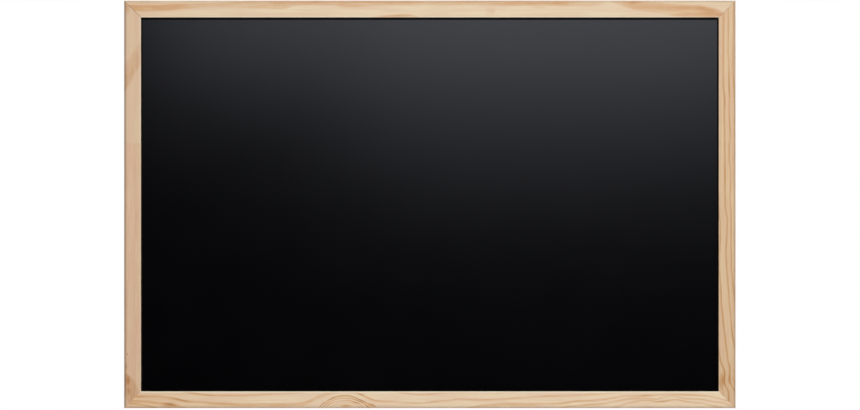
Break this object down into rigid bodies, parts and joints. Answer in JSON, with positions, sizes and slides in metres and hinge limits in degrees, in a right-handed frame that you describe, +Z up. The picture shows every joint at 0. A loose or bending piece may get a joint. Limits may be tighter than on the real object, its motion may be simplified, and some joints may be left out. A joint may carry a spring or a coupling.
{
  "type": "wall chalkboard",
  "caption": "Landscape chalkboard with a black writing panel in a mitred pine frame, hung on a wall by two small rings on its back.",
  "frame": {"origin": "on the wall, behind the middle of the board: the plane that the bumpers rest on", "axes": "+X along the board's width to the right as seen from the front, +Y from the front to the wall, +Z up"},
  "size_m": [0.6, 0.02, 0.4],
  "materials": {
    "black_panel": "hardboard with a smooth satin black coating on its face",
    "pine_top": "bare planed pine",
    "pine_bottom": "bare planed pine",
    "pine_right": "bare planed pine",
    "pine_left_upper": "bare planed pine",
    "pine_left_lower": "bare planed pine",
    "nail_steel": "bright rolled strip",
    "point_steel": "blued strip",
    "hanger_zinc": "bright zinc plating",
    "ring_zinc": "bright zinc plating",
    "screw_zinc": "bright zinc plating",
    "bumper_rubber": "matt black rubber"
  },
  "bodies": {
    "board": {"writing_panel": "black_panel", "top_rail": "pine_top", "bottom_rail": "pine_bottom", "right_stile": "pine_right", "left_stile_upper": "pine_left_upper", "left_stile_lower": "pine_left_lower", "wedge_nails_top_left": "nail_steel", "wedge_nails_top_right": "nail_steel", "wedge_nails_bottom_left": "nail_steel", "wedge_nails_bottom_right": "nail_steel", "panel_points_top": "point_steel", "panel_points_right": "point_steel", "panel_points_bottom": "point_steel", "panel_points_left": "point_steel", "hanger_strap_left": "hanger_zinc", "hanger_strap_right": "hanger_zinc", "hanger_screw_left": "screw_zinc", "hanger_screw_right": "screw_zinc", "bumper_left": "bumper_rubber", "bumper_right": "bumper_rubber"},
    "left_ring": {"hanger_ring_left": "ring_zinc"},
    "right_ring": {"hanger_ring_right": "ring_zinc"}
  },
  "joints": [
    {"name": "left_ring_hinge", "type": "hinge", "parent": "board", "child": "left_ring", "pos_m": [-0.294, -0.0023, 0.182], "axis": [1, 0, 0], "range_deg": [0, 174.5]},
    {"name": "right_ring_hinge", "type": "hinge", "parent": "board", "child": "right_ring", "pos_m": [0.294, -0.0023, 0.182], "axis": [1, 0, 0], "range_deg": [0, 174.5]}
  ]
}
